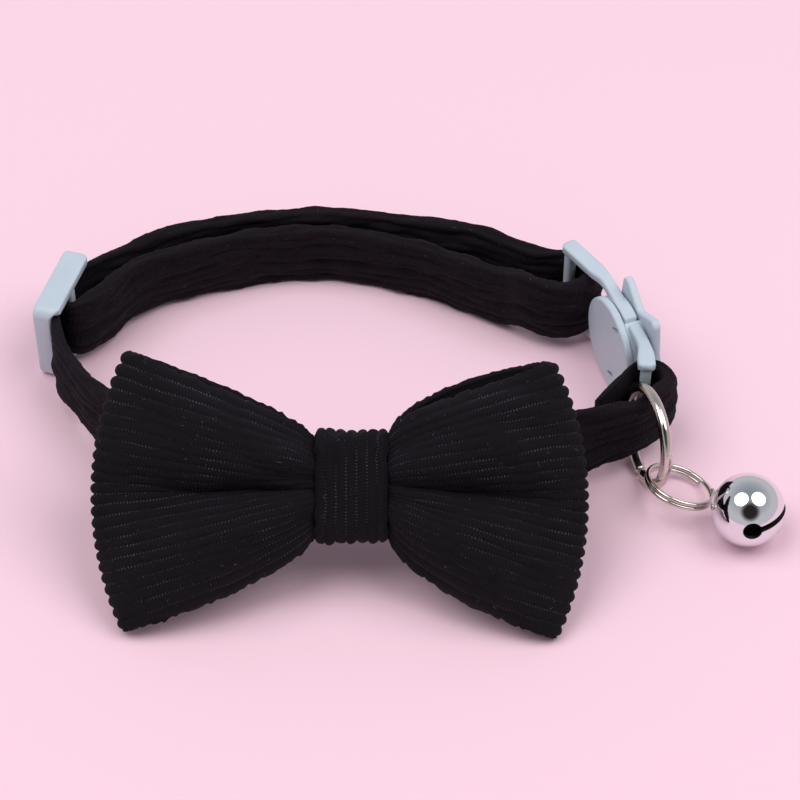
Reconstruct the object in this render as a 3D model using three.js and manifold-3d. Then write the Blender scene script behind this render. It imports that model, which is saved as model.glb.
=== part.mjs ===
// Pet bow tie collar: a corduroy strap laid as a loop on its edge, with a slider, a two-part
// release buckle, a bow with its middle band, a large ring, a split ring and a bell.
// Millimetres, +Z up. X runs along the bow, Y from the bow to the back of the loop. The origin
// ends up under the middle of the whole collar, on the surface that it lies on.
import * as THREE from 'three';
import { mergeVertices } from 'three/addons/utils/BufferGeometryUtils.js';
import Module from 'manifold-3d';

const wasm = await Module();
wasm.setup();

// Driving sizes

const gap = 0.3; // clearance between pieces that touch on the real collar

// loop of the strap, measured over its centre line
const loopWidth = 101;
const loopDepth = 64;
const strapHeight = 12; // width of the corduroy tube, which stands on its edge
const strapThick = 2.8;
const foldThick = 1.6; // where the tube is pressed flat round a bar
const farFold = 7.2; // size of the loose fold through the buckle's far loop
const backSag = 1.9; // how far the back of the loop sinks below the hardware's middle

const inset = 0.12; // of each bar's faces from the faces of the rails that it joins

// slider: a frame of two rails and three bars
const sliderLength = 15.5;
const sliderRail = 1.7;
const sliderDepth = 4.4;
const sliderBar = 1.8;
const barDepth = 1.4; // of the near and far bars, on the outer side of the frame
const centreBarDepth = 1.2; // of the centre bar, on the inner side
const sliderTurn = 73; // degrees from X to the slider's long side

// buckle
const plateRadius = 8.5;
const plateThick = 1.4;
const coreThick = 2.9; // room between the two plates
const earReach = 12.3; // from the middle of the outer plate to an ear's tip
const earTipRadius = 1.3;
const earTurn = (28 * Math.PI) / 180; // of each ear from upright
const outerPlateShift = 1.5; // of the outer plate, towards the near loop
const loopRail = 1.7;
const loopRailDepth = 2.6;
const railEdge = 0.4; // bevel along the rails of the bar loops
const buckleBar = 1.8;
const farLoopLength = 17.6; // from the middle of the buckle to the far bar
const nearLoopLength = 12.2;
const farLoopBend = 16.5; // degrees that each bar loop turns towards the neck
const nearLoopBend = 20;
const buckleTurn = -70; // degrees from X to the buckle's long side
const notchLength = 2.4;
const notchWidth = 0.9;

// bow: a flattened loop of wide-wale corduroy
const bowLeft = 40.4; // from the band's middle to the fold
const bowRight = 36.6;
const bowHeight = 42.6; // at its corners
const bowDropLeft = 0.8; // how far each corner pair hangs below the band's middle
const bowDropRight = 1.9;
const bowWaist = 15.2; // height under the band
const bowWaistDepth = 4.6;
const bowWall = 1.3;
const bowEndDepth = 3.8; // of the folded ends
const bowCornerRest = 1.2; // from the middle of a folded corner to the surface under it
const bowPitch = 42; // degrees between the bow's face and the surface
const foldBulge = 4.2; // how much further the folds stand out at mid-height than at the corners
const lobeFront = 4.6; // how far the two lobes swell in front of the folded ends
const lobeBack = 1.6;
const bandWidth = 11.8;
const bandWall = 1.3;
const bandEdgeRadius = 0.6;

// rings
const ringRadius = 8; // large ring, to the wire's middle
const ringWire = 1.9;
const ringCut = 3; // degrees between the large ring's two ends
const splitRadius = 5.6;
const splitWire = 0.8;
const splitPitch = 1.04; // from one turn to the next
const splitTurns = 1.9;

// bell
const bellRadius = 6;
const bellWall = 0.8;
const slitWidth = 1.1;
const holeRadius = 1.15;
const slitReach = 66; // degrees from the bell's pole to the middle of each round hole
const shankRadius = 1.7;
const shankWire = 0.7;
const shankTurn = 80; // degrees from the slit's side to the loop's plane
const peaRadius = 1.7;

// fineness of the surfaces
const strapStep = 2.6;
const strapSides = 12;
const ringSides = 8;
const ringSteps = 40;

// Colours and finishes

const finish = {
  cloth: { color: 0x100e16, roughness: 0.95, metalness: 0 },
  bowCloth: { color: 0x121018, roughness: 0.92, metalness: 0 },
  plastic: { color: 0xc4d2da, roughness: 0.45, metalness: 0 },
  nickel: { color: 0xcfc8c0, roughness: 0.18, metalness: 1 },
  chrome: { color: 0xe2e5ea, roughness: 0.08, metalness: 1 },
};

// Places

const degree = Math.PI / 180;
const up = new THREE.Vector3(0, 0, 1);
const v3 = (x, y, z) => new THREE.Vector3(x, y, z);
const loopMiddleX = -loopWidth * 0.075; // the loop's middle in the layout below
const plan = (xShare, yShare) =>
  new THREE.Vector2(loopMiddleX + (xShare * loopWidth) / 2, (yShare * loopDepth) / 2);

// A frame standing on the surface: "along" in plan, "out" away from the loop, z up.
function standing(origin, turn) {
  const along = new THREE.Vector2(Math.cos(turn * degree), Math.sin(turn * degree));
  const out = new THREE.Vector2(-along.y, along.x);
  const at = (a, o) => origin.clone().addScaledVector(along, a).addScaledVector(out, o);
  const matrix = new THREE.Matrix4().makeRotationZ(turn * degree);
  return { origin, turn, along, out, at, matrix };
}

const hardwareMid = sliderRail + gap + strapHeight / 2;
const slider = standing(plan(-0.982, 0.387), sliderTurn);
const buckle = standing(plan(0.894, 0.165), buckleTurn);
const buckleMid = plateRadius + 0.2;
const bendAt = plateRadius - 0.4; // where the rails of each bar loop turn
const nearBend = standing(buckle.at(bendAt, 0), buckleTurn - nearLoopBend);
const farBend = standing(buckle.at(-bendAt, 0), buckleTurn + farLoopBend);
const nearBar = nearLoopLength - bendAt;
const farBar = farLoopLength - bendAt;

const pitch = bowPitch * degree;
const bowUp = v3(0, Math.cos(pitch), Math.sin(pitch));
const bowFront = v3(0, -Math.sin(pitch), Math.cos(pitch));
const knotPlan = plan(0, -1.05);
const bowReachDown = bowHeight / 2 + Math.max(bowDropLeft, bowDropRight);
const knotHigh = bowReachDown * Math.sin(pitch) + bowCornerRest * Math.cos(pitch);
const knot = v3(knotPlan.x, knotPlan.y, knotHigh);
const strapBehindBow = bowWaistDepth / 2 + 2 * gap + strapThick / 2;

// Meshes

// Closed body through sections of equal point counts, with flat caps, or joined end to end.
function loft(sections, ring = false) {
  const count = sections[0].length;
  const points = sections.flat();
  const index = [];
  const rows = ring ? sections.length : sections.length - 1;
  for (let i = 0; i < rows; i++) {
    const next = (i + 1) % sections.length;
    for (let j = 0; j < count; j++) {
      const k = (j + 1) % count;
      const [a, b, c, d] = [i * count + j, i * count + k, next * count + k, next * count + j];
      index.push(a, b, c, a, c, d);
    }
  }
  if (!ring) {
    for (const [row, order] of [[0, -1], [sections.length - 1, 1]]) {
      const middle = points.length;
      const centre = v3(0, 0, 0);
      sections[row].forEach((p) => centre.addScaledVector(p, 1 / count));
      points.push(centre);
      for (let j = 0; j < count; j++) {
        const [a, b] = [row * count + j, row * count + ((j + 1) % count)];
        index.push(...(order > 0 ? [a, b, middle] : [b, a, middle]));
      }
    }
  }
  const geometry = new THREE.BufferGeometry();
  geometry.setAttribute('position', new THREE.Float32BufferAttribute(points.flatMap((p) => p.toArray()), 3));
  geometry.setIndex(index);
  return outward(geometry);
}

// Turns a closed geometry's triangles over if they enclose a negative volume.
function outward(geometry) {
  const position = geometry.attributes.position;
  const index = geometry.index.array;
  const [a, b, c] = [v3(), v3(), v3()];
  let volume = 0;
  for (let i = 0; i < index.length; i += 3) {
    a.fromBufferAttribute(position, index[i]);
    b.fromBufferAttribute(position, index[i + 1]);
    c.fromBufferAttribute(position, index[i + 2]);
    volume += a.dot(b.cross(c));
  }
  if (volume < 0) {
    for (let i = 0; i < index.length; i += 3) [index[i], index[i + 1]] = [index[i + 1], index[i]];
  }
  return geometry;
}

function toSolid(geometry) {
  let bare = geometry.clone();
  bare.deleteAttribute('normal');
  bare.deleteAttribute('uv');
  bare = mergeVertices(bare, 1e-5);
  return new wasm.Manifold(new wasm.Mesh({
    numProp: 3,
    vertProperties: new Float32Array(bare.attributes.position.array),
    triVerts: new Uint32Array(bare.index.array),
  }));
}

function fromSolid(solid) {
  const { vertProperties, triVerts } = solid.getMesh();
  const geometry = new THREE.BufferGeometry();
  geometry.setAttribute('position', new THREE.BufferAttribute(new Float32Array(vertProperties), 3));
  geometry.setIndex(new THREE.BufferAttribute(new Uint32Array(triVerts), 1));
  return geometry;
}

const join = (...geometries) => fromSolid(geometries.map(toSolid).reduce((all, one) => all.add(one)));
const cut = (body, ...tools) => fromSolid(tools.map(toSolid).reduce((all, one) => all.subtract(one), toSolid(body)));

// Box with rounded corners, seen along its depth: width by height, rounded in that plane.
function roundedBar(width, height, depth, radius, segments = 2) {
  const shape = new THREE.Shape();
  const [w, h] = [width / 2, height / 2];
  shape.moveTo(w, radius - h);
  shape.lineTo(w, h - radius);
  shape.absarc(w - radius, h - radius, radius, 0, Math.PI / 2);
  shape.lineTo(radius - w, h);
  shape.absarc(radius - w, h - radius, radius, Math.PI / 2, Math.PI);
  shape.lineTo(-w, radius - h);
  shape.absarc(radius - w, radius - h, radius, Math.PI, Math.PI * 1.5);
  shape.lineTo(w - radius, -h);
  shape.absarc(w - radius, radius - h, radius, Math.PI * 1.5, Math.PI * 2);
  const options = { depth, bevelEnabled: false, curveSegments: segments };
  return new THREE.ExtrudeGeometry(shape, options).translate(0, 0, -depth / 2);
}

// Bar that stands up and down: its section is width (along) by depth (out).
const post = (width, depth, height, radius = 0.5) => roundedBar(width, depth, height, radius);

// Bar that runs along, its section rounded: length along X, height in Z, depth in Y.
const rail = (length, height, depth, radius = 0.5) =>
  roundedBar(height, depth, length, radius).rotateY(Math.PI / 2);

// Strap

// Cross-section of the puffed tube: an oval flattened towards a slot.
function strapSection({ place, tangent, lean, thick, height }) {
  const right = v3(tangent.y, -tangent.x, 0).normalize();
  const high = up.clone().multiplyScalar(Math.cos(lean)).addScaledVector(right, Math.sin(lean));
  const wide = tangent.clone().cross(high).normalize();
  const section = [];
  for (let i = 0; i < strapSides; i++) {
    const angle = (2 * Math.PI * (i + 0.5)) / strapSides;
    const [c, s] = [Math.cos(angle), Math.sin(angle)];
    const h = (height / 2) * Math.sign(c) * Math.abs(c) ** 0.72;
    const w = (thick / 2) * Math.sign(s) * Math.abs(s) ** 0.5;
    section.push(place.clone().addScaledVector(high, h).addScaledVector(wide, w));
  }
  return section;
}

// Tube through stations { at: plan point, z, lean, thick, height }, in even steps.
function strapTube(stations) {
  const filled = stations.map((s) => ({ lean: 0, thick: strapThick, height: strapHeight, ...s }));
  const route = new THREE.CatmullRomCurve3(filled.map((s) => v3(s.at.x, s.at.y, s.z)), false, 'centripetal');
  const sections = [];
  for (let i = 0; i < filled.length - 1; i++) {
    const [a, b] = [filled[i], filled[i + 1]];
    const span = a.at.distanceTo(b.at);
    const steps = Math.max(1, Math.round(span / (a.fine && b.fine ? strapStep / 2 : strapStep)));
    const last = i === filled.length - 2 ? 1 : 0;
    for (let k = 0; k < steps + last; k++) {
      const share = k / steps;
      const t = (i + share) / (filled.length - 1);
      const blend = (key) => THREE.MathUtils.lerp(a[key], b[key], share);
      sections.push(strapSection({
        place: route.getPoint(t),
        tangent: route.getTangent(t).setZ(0).normalize(),
        lean: blend('lean') * degree,
        thick: blend('thick'),
        height: blend('height'),
      }));
    }
  }
  return loft(sections);
}

// Fold round the buckle's near bar: places along and out from the bar, as shares of the pressed
// fold's radius, and how full the tube is there.
const eye = buckleBar / 2 + gap + foldThick / 2;
const nearRows = [
  // along  out   fullness
  [0.5, -1.0, 0],
  [-0.3, -1.0, 0],
  [-0.87, -0.6, 0],
  [-1.0, 0.2, 0],
  [-0.8, 1.05, 0.3],
  [0.05, 1.75, 0.8],
  [1.1, 1.8, 1],
];
// Fold round the slider's centre bar: place along in bar widths, place from the bar's inner
// side (0) to its outer side (1), and how full the tube is there.
const wrapThick = 1.2;
const wrapFull = 2.2;
const wrapRows = [
  // along  across  fullness
  [2.0, 0.0, 1],
  [0.2, 0.0, 1],
  [-0.8, 0.1, 0.8],
  [-1.3, 0.5, 0.3],
  [-0.85, 0.92, 0],
  [0.0, 1.0, 0],
  [0.7, 1.0, 0],
];
// Front of the strap, from the buckle's near bar to the slider: shares of the loop's half width
// and half depth, height over the surface as a share of the way from the hardware's middle (0)
// to the strap's place behind the bow (1), lean in degrees, and height as a share of the strap's.
const frontRows = [
  // x      y      lift  lean  height
  [0.925, -0.435, 0.0, 0, 0.88],
  [0.845, -0.485, 0.0, 3, 0.88],
  [0.752, -0.52, 0.05, 12, 1],
  [0.58, -0.64, 0.25, 22, 1],
  [0.36, -0.8, 0.65, 38, 1],
];
const leftRows = [
  [-0.36, -0.82, 0.65, 38, 1],
  [-0.62, -0.62, 0.25, 22, 1],
  [-0.82, -0.34, 0.05, 8, 1],
  [-0.91, -0.16, 0.0, 3, 1],
  [-0.966, -0.01, 0.0, 0, 1],
];
// Back of the loop: outer layer from the slider to the buckle, and inner layer back again, with
// the sag as a share of backSag.
const outerRows = [
  // x      y     sag
  [-0.8, 0.72, 0.3],
  [-0.6, 0.9, 0.6],
  [-0.35, 1.015, 0.9],
  [-0.08, 1.04, 1.0],
  [0.2, 0.985, 1.0],
  [0.41, 0.905, 0.8],
  [0.6, 0.79, 0.4],
];
const innerRows = [
  [0.52, 0.535, 0.4],
  [0.36, 0.67, 0.7],
  [0.17, 0.815, 0.95],
  [-0.1, 0.91, 1.0],
  [-0.34, 0.875, 0.9],
  [-0.56, 0.77, 0.6],
  [-0.76, 0.6, 0.3],
  [-0.865, 0.45, 0.1],
];

function strap() {
  const behind = knot.clone().addScaledVector(bowFront, -strapBehindBow);
  const lifted = (rows) => rows.map(([x, y, lift, lean, tall]) => ({
    at: plan(x, y),
    z: THREE.MathUtils.lerp(hardwareMid, behind.z, lift),
    lean,
    height: tall * strapHeight,
  }));
  const sagged = (rows) => rows.map(([x, y, sag]) => ({ at: plan(x, y), z: hardwareMid - sag * backSag }));
  const level = { z: hardwareMid };
  const raised = { z: buckleMid };

  const nearTurn = nearRows.map(([a, o, fullness]) => ({
    at: nearBend.at(nearBar + a * eye, o * eye),
    thick: THREE.MathUtils.lerp(foldThick, strapThick, fullness),
    height: strapHeight - 0.4,
    fine: true,
    ...raised,
  }));

  const pressed = { ...level, thick: foldThick, fine: true };
  const insideBars = sliderDepth / 2 - barDepth - 1.6 * gap - foldThick / 2;
  const overCentre = centreBarDepth - sliderDepth / 2 + 2 * gap + wrapThick + foldThick / 2;
  const through = [-1, 0, 1].map((side) => ({
    at: slider.at(side * (sliderLength / 2 - sliderBar / 2), side ? insideBars : overCentre),
    ...pressed,
  }));

  const knotted = [-1, 0, 1].map((side) => ({
    at: new THREE.Vector2(knot.x - side * bandWidth * 0.62, behind.y),
    z: behind.z,
    lean: 90 - bowPitch,
    thick: strapThick,
  }));

  const foldRows = [
    // out   along  fullness (places as shares of the far fold's size)
    [0.31, -0.4, 0.4],
    [0.31, 0.1, 0.4],
    [0.3, 0.45, 0.6],
    [0.08, 0.78, 0.8],
    [-0.35, 0.88, 0.9],
    [-0.8, 0.72, 1],
    [-1.15, 0.35, 1],
    [-1.35, -0.1, 1],
  ];
  const farTurn = foldRows.map(([o, a, fullness]) => ({
    at: farBend.at(a * farFold - farBar, o * farFold),
    thick: THREE.MathUtils.lerp(foldThick, strapThick, fullness),
    fine: true,
    ...raised,
  }));

  const wrapOut = centreBarDepth - sliderDepth / 2 + gap + wrapThick / 2;
  const wrapIn = -sliderDepth / 2 - gap - wrapFull / 2;
  const wrap = wrapRows.map(([a, across, fullness]) => ({
    at: slider.at(a * sliderBar, THREE.MathUtils.lerp(wrapIn, wrapOut, across)),
    thick: THREE.MathUtils.lerp(wrapThick, wrapFull, fullness),
    height: strapHeight - 0.4,
    fine: true,
    ...level,
  }));

  return strapTube([
    ...nearTurn,
    ...lifted(frontRows),
    ...knotted,
    ...lifted(leftRows),
    ...through,
    ...sagged(outerRows),
    ...farTurn,
    ...sagged(innerRows),
    ...wrap,
  ]);
}

// Slider

function sliderFrame() {
  const height = strapHeight + 2 * gap + 2 * sliderRail;
  const window = height - 2 * sliderRail;
  const across = (sliderLength - sliderBar) / 2 - inset;
  const pieces = [-1, 1].map((side) =>
    rail(sliderLength, sliderRail, sliderDepth).translate(0, 0, side * (height - sliderRail) / 2));
  for (const side of [-1, 1]) {
    const outer = (sliderDepth - barDepth - inset) / 2;
    pieces.push(post(sliderBar, barDepth - inset, window + sliderRail).translate(side * across, outer, 0));
  }
  const inner = (centreBarDepth + inset - sliderDepth) / 2;
  pieces.push(post(sliderBar, centreBarDepth - inset, window + sliderRail, 0.4).translate(0, inner, 0));
  return join(...pieces).applyMatrix4(slider.matrix).translate(slider.origin.x, slider.origin.y, height / 2);
}

// Buckle

// Plate across the buckle: outline in (along, up), thickness from out0 outwards.
function acrossPlate(shape, out0, thick, segments = 10) {
  const options = { depth: thick, bevelEnabled: false, curveSegments: segments };
  return new THREE.ExtrudeGeometry(shape, options).rotateX(Math.PI / 2).translate(0, out0 + thick, 0);
}

// Part of a disc between two angles, closed by its chord.
function disc(radius, from = 0, to = 360) {
  const shape = new THREE.Shape();
  shape.absarc(0, 0, radius, from * degree, to * degree);
  return shape;
}

// Disc with two ears: each ear is a triangle rounded at its tip, and they meet at the disc's top.
function earedDisc() {
  const shape = new THREE.Shape();
  const foot = earTurn + 0.5;
  shape.absarc(0, 0, plateRadius, Math.PI / 2 + foot, Math.PI * 2.5 - foot);
  for (const side of [-1, 1]) {
    const angle = Math.PI / 2 + side * earTurn;
    const tip = new THREE.Vector2(Math.cos(angle), Math.sin(angle)).multiplyScalar(earReach - earTipRadius);
    shape.absarc(tip.x, tip.y, earTipRadius, angle - 1.1, angle + 1.1);
    if (side < 0) shape.lineTo(0, plateRadius);
  }
  return shape;
}

// Two rails and a bar, bent towards the neck: side 1 leads to the near end, -1 to the far one.
// Each rail is one bent outline, seen from above, whose root lies between the plates.
function barLoop(bend, reach, side) {
  const high = (strapHeight + loopRail) / 2 + gap;
  const turn = (bend.turn - buckle.turn) * degree;
  const corner = new THREE.Vector2(side * bendAt, 0);
  const ahead = new THREE.Vector2(Math.cos(turn), Math.sin(turn)).multiplyScalar(side);
  const rootHalf = coreThick / 2 - gap - inset;
  const line = [
    { at: corner.clone().multiplyScalar(0.45), turn: 0, half: rootHalf },
    { at: corner, turn: turn / 2, half: rootHalf },
    { at: corner.clone().addScaledVector(ahead, reach + buckleBar / 2 + inset), turn, half: loopRailDepth / 2 },
  ];
  const edgeOf = (way) => line.map(({ at, turn: across, half }) =>
    new THREE.Vector2(-Math.sin(across), Math.cos(across)).multiplyScalar(way * half).add(at));
  const outline = new THREE.Shape([...edgeOf(-side), ...edgeOf(side).reverse()]);
  const soft = { bevelThickness: railEdge, bevelSize: railEdge, bevelOffset: -railEdge, bevelSegments: 2 };
  const options = { depth: loopRail - 2 * railEdge, ...soft };
  const rails = [-1, 1].map((end) => new THREE.ExtrudeGeometry(outline, options)
    .translate(0, 0, end * high - loopRail / 2 + railEdge));
  const bar = post(buckleBar, buckleBar, 2 * high).rotateZ(turn)
    .translate(corner.x + ahead.x * reach, corner.y + ahead.y * reach, 0);
  return [...rails, bar];
}

const placeBuckle = (geometry) =>
  geometry.applyMatrix4(buckle.matrix).translate(buckle.origin.x, buckle.origin.y, buckleMid);

function buckleSocket() {
  const inner = -coreThick / 2 - plateThick;
  const pieces = [
    acrossPlate(disc(plateRadius), inner, plateThick, 12),
    acrossPlate(earedDisc(), coreThick / 2, plateThick, 10).translate(outerPlateShift, 0, 0),
    acrossPlate(disc(plateRadius - 0.8, -84, 84), inner + plateThick / 2, coreThick + plateThick, 8),
    ...barLoop(nearBend, nearBar, 1),
  ];
  const notch = (along, high, turn) => rail(notchLength, notchWidth, plateThick * 2, 0.3)
    .rotateY(turn * degree).translate(along, inner + plateThick / 2, high);
  return placeBuckle(cut(join(...pieces),
    notch(plateRadius * 0.42, plateRadius * 0.66, 32),
    notch(-plateRadius * 0.08, -plateRadius * 0.84, 6)));
}

function buckleTongue() {
  const thick = coreThick - 2 * gap;
  const reach = plateRadius - 0.2;
  const core = disc(reach, 88, 272);
  return placeBuckle(join(acrossPlate(core, -thick / 2, thick, 10), ...barLoop(farBend, farBar, -1)));
}

// Bow

// Half height of the bow at a share of the way from the band's edge to a corner.
function bowHalfHeight(share) {
  const grown = THREE.MathUtils.clamp(share, 0, 1) ** 0.6;
  return THREE.MathUtils.lerp(bowWaist, bowHeight, grown) / 2;
}

// Half depth of the cloth loop: pinched at the band, two swollen lobes with a valley between
// them, and flat folds at the ends. "high" runs from -1 at the lower edge to 1 at the upper.
function bowDepth(share, high, swell) {
  const waist = THREE.MathUtils.lerp(bowWaistDepth, 2 * bowWall + 0.4, high ** 4);
  const flat = THREE.MathUtils.lerp(waist, bowEndDepth, THREE.MathUtils.smoothstep(share, 0, 0.5)) / 2;
  const lobes = Math.sin(Math.PI * Math.min(1, Math.max(0, share)) ** 0.7) ** 1.2;
  const valley = 1 - Math.exp(-((high / 0.3) ** 2)) * (1 - 0.25 * share);
  const edge = 1 - high ** 6;
  return flat - bowWall / 2 + swell * lobes * valley * edge;
}

function bowLoop() {
  const halfSteps = 13; // columns of one layer from the band to a fold
  const across = 14; // rows from the lower edge to the upper
  const columns = [];
  for (const layer of [1, -1]) {
    for (const side of [layer, -layer]) {
      for (let i = 0; i <= halfSteps; i++) {
        const step = side === layer ? halfSteps - i : i;
        columns.push({ layer, side, share: (1 - Math.cos((Math.PI * step) / (halfSteps + 0.5))) / 2 });
      }
    }
  }
  const rows = [];
  for (let j = 0; j <= across; j++) {
    const high = (2 * j) / across - 1;
    rows.push(columns.map(({ layer, side, share }) => {
      const reach = (side > 0 ? bowRight : bowLeft) - foldBulge * high ** 2;
      const round = Math.sqrt(1 - share ** 24);
      return {
        u: side * THREE.MathUtils.lerp(bandWidth / 2, reach, share),
        n: layer * bowDepth(share, high, layer > 0 ? lobeFront : lobeBack) * round,
        v: high * bowHalfHeight(share) - (side > 0 ? bowDropRight : bowDropLeft) * share,
      };
    }));
  }
  const count = columns.length;
  const sections = columns.map((_, i) => {
    const section = [];
    for (const side of [1, -1]) {
      for (let k = 0; k <= across; k++) {
        const line = rows[side > 0 ? k : across - k];
        const [before, here, after] = [line[(i + count - 1) % count], line[i], line[(i + 1) % count]];
        const normal = new THREE.Vector2(before.n - after.n, after.u - before.u).normalize();
        const offset = (-side * bowWall) / 2;
        section.push(knot.clone()
          .addScaledVector(v3(1, 0, 0), here.u + normal.x * offset)
          .addScaledVector(bowFront, here.n + normal.y * offset)
          .addScaledVector(bowUp, here.v));
      }
    }
    return section;
  });
  return loft(sections, true);
}

// Band round the bow's waist and the strap: a rounded wall carried round an oval.
function bowKnot() {
  const steps = 28;
  const front = bowWaistDepth / 2 + gap;
  const back = bowWaistDepth / 2 + strapThick + 3 * gap;
  const halfHigh = bowWaist / 2 + 2 * gap;
  const half = bandWidth / 2;
  const r = bandEdgeRadius;
  const wallRows = [[-half + r, 0], [half - r, 0], [half, r * 0.6], [half, bandWall - r], [half - r, bandWall],
    [-half + r, bandWall], [-half, bandWall - r], [-half, r * 0.6]];
  const sections = [];
  for (let i = 0; i < steps; i++) {
    const angle = (2 * Math.PI * i) / steps;
    const [c, s] = [Math.cos(angle), Math.sin(angle)];
    const oval = { n: Math.sign(s) * Math.abs(s) ** 0.55, v: Math.sign(c) * Math.abs(c) ** 0.55 };
    const normal = new THREE.Vector2(Math.sign(c) * Math.abs(c) ** 1.4, Math.sign(s) * Math.abs(s) ** 1.4).normalize();
    sections.push(wallRows.map(([u, outside]) => knot.clone()
      .addScaledVector(v3(1, 0, 0), u)
      .addScaledVector(bowUp, oval.v * halfHigh + normal.x * outside)
      .addScaledVector(bowFront, oval.n * (s > 0 ? front : back) + normal.y * outside)));
  }
  return loft(sections, true);
}

// Rings

// Frame in space with its axis along "normal".
function facing(centre, normal) {
  const turn = new THREE.Quaternion().setFromUnitVectors(up, normal.clone().normalize());
  return new THREE.Matrix4().compose(centre, turn, v3(1, 1, 1));
}

// Round wire along a turn or a helix about Z.
function wireTurn(radius, wire, from, to, rise, steps) {
  const sections = [];
  for (let i = 0; i <= steps; i++) {
    const angle = THREE.MathUtils.lerp(from, to, i / steps) * degree;
    const section = [];
    for (let k = 0; k < ringSides; k++) {
      const around = (2 * Math.PI * k) / ringSides;
      const r = radius + (wire / 2) * Math.cos(around);
      const z = (wire / 2) * Math.sin(around) + rise * (i / steps - 0.5);
      section.push(v3(r * Math.cos(angle), r * Math.sin(angle), z));
    }
    sections.push(section);
  }
  return loft(sections);
}

const ringNormal = v3(-0.95, -0.29, 0.1);
const ringCentre = () => {
  const at = plan(0.95, -0.5);
  return v3(at.x, at.y, ringRadius + ringWire / 2 + 0.1);
};

function largeRing() {
  const start = 205; // degrees round the ring, low down in front
  const ring = wireTurn(ringRadius, ringWire, start, start + 360 - ringCut, 0, ringSteps);
  return ring.applyMatrix4(facing(ringCentre(), ringNormal));
}

const splitNormal = v3(0.31, 0.26, 0.91).normalize();
const splitCentre = ringCentre().add(v3(5.2, -6.5, 3.9 - ringCentre().z));

function splitRing() {
  const turns = wireTurn(splitRadius, splitWire, 40, 40 + 360 * splitTurns, splitPitch * splitTurns, 46);
  return turns.applyMatrix4(facing(splitCentre, splitNormal));
}

// Bell

// The bell's loop hangs on the split ring on this side, and the bell rests on the surface.
const linkSide = v3(0.66, -0.75, 0).addScaledVector(splitNormal, -v3(0.66, -0.75, 0).dot(splitNormal)).normalize();
const link = splitCentre.clone().addScaledVector(linkSide, splitRadius);
const linkReach = bellRadius + shankRadius - shankWire * 0.3;
const poleRise = (bellRadius - link.z) / linkReach;
const poleTurn = -20 * degree;
const poleFlat = Math.sqrt(1 - poleRise ** 2);
const bellPole = v3(poleFlat * Math.cos(poleTurn), poleFlat * Math.sin(poleTurn), poleRise);
const slitSide = v3(-0.1, -0.97, 0.21);
const bellCentre = link.clone().addScaledVector(bellPole, linkReach);

function placeBell(geometry) {
  const across = slitSide.clone().addScaledVector(bellPole, -slitSide.dot(bellPole)).normalize();
  const matrix = new THREE.Matrix4().makeBasis(across, bellPole.clone().cross(across), bellPole);
  return geometry.applyMatrix4(matrix.setPosition(bellCentre));
}

function bell() {
  const arc = (radius, steps, reverse) => {
    const points = [];
    for (let i = 0; i <= steps; i++) {
      const angle = ((reverse ? i : steps - i) / steps - 0.5) * Math.PI;
      points.push(new THREE.Vector2(radius * Math.cos(angle), radius * Math.sin(angle)));
    }
    points[0].x = 0;
    points[steps].x = 0;
    return points;
  };
  const ball = (radius, sides, steps) => new THREE.LatheGeometry(arc(radius, steps, true), sides).rotateX(Math.PI / 2);
  const slit = new THREE.BoxGeometry(2 * bellRadius * Math.sin(slitReach * degree), slitWidth, bellRadius * 1.5)
    .translate(0, 0, bellRadius * (Math.cos(slitReach * degree) + 0.75));
  const holes = [-1, 1].map((side) => new THREE.CylinderGeometry(holeRadius, holeRadius, bellRadius, 14)
    .translate(0, bellRadius * 0.9, 0).rotateX(Math.PI / 2).rotateY(side * slitReach * degree));
  const shank = new THREE.TorusGeometry(shankRadius, shankWire / 2, 6, 14).rotateX(Math.PI / 2)
    .rotateZ(shankTurn * degree).translate(0, 0, -linkReach);
  const shell = cut(ball(bellRadius, 28, 18), ball(bellRadius - bellWall, 20, 12), slit, ...holes);
  return placeBell(join(shell, shank));
}

function bellPea() {
  const pea = new THREE.IcosahedronGeometry(peaRadius, 2);
  const low = bellRadius - bellWall - peaRadius - gap;
  const bare = pea.clone();
  bare.deleteAttribute('normal');
  bare.deleteAttribute('uv');
  return mergeVertices(bare, 1e-5).translate(bellCentre.x, bellCentre.y, bellCentre.z - low);
}

// Assembly

const pieces = [
  ['strap', strap, finish.cloth],
  ['slider', sliderFrame, finish.plastic],
  ['buckle_socket', buckleSocket, finish.plastic],
  ['buckle_tongue', buckleTongue, finish.plastic],
  ['bow_loop', bowLoop, finish.bowCloth],
  ['bow_knot', bowKnot, finish.bowCloth],
  ['large_ring', largeRing, finish.nickel],
  ['split_ring', splitRing, finish.nickel],
  ['bell', bell, finish.chrome],
  ['bell_pea', bellPea, finish.nickel],
];

const collar = new THREE.Group();
for (const [name, make, look] of pieces) {
  const mesh = new THREE.Mesh(make(), new THREE.MeshStandardMaterial(look));
  mesh.name = name;
  collar.add(mesh);
}

// The origin goes under the middle of the collar's box, on the surface.
const box = new THREE.Box3().setFromObject(collar);
collar.position.set(-(box.min.x + box.max.x) / 2, -(box.min.y + box.max.y) / 2, -box.min.z);
collar.updateMatrixWorld(true);

export default collar;
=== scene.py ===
"""Pet bow tie collar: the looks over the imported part.

Every shape is worked out in millimetres, in the layout that the part's own sizes use, and moved
by LAYOUT into the part's frame when its mesh is made.
"""

import math

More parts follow.
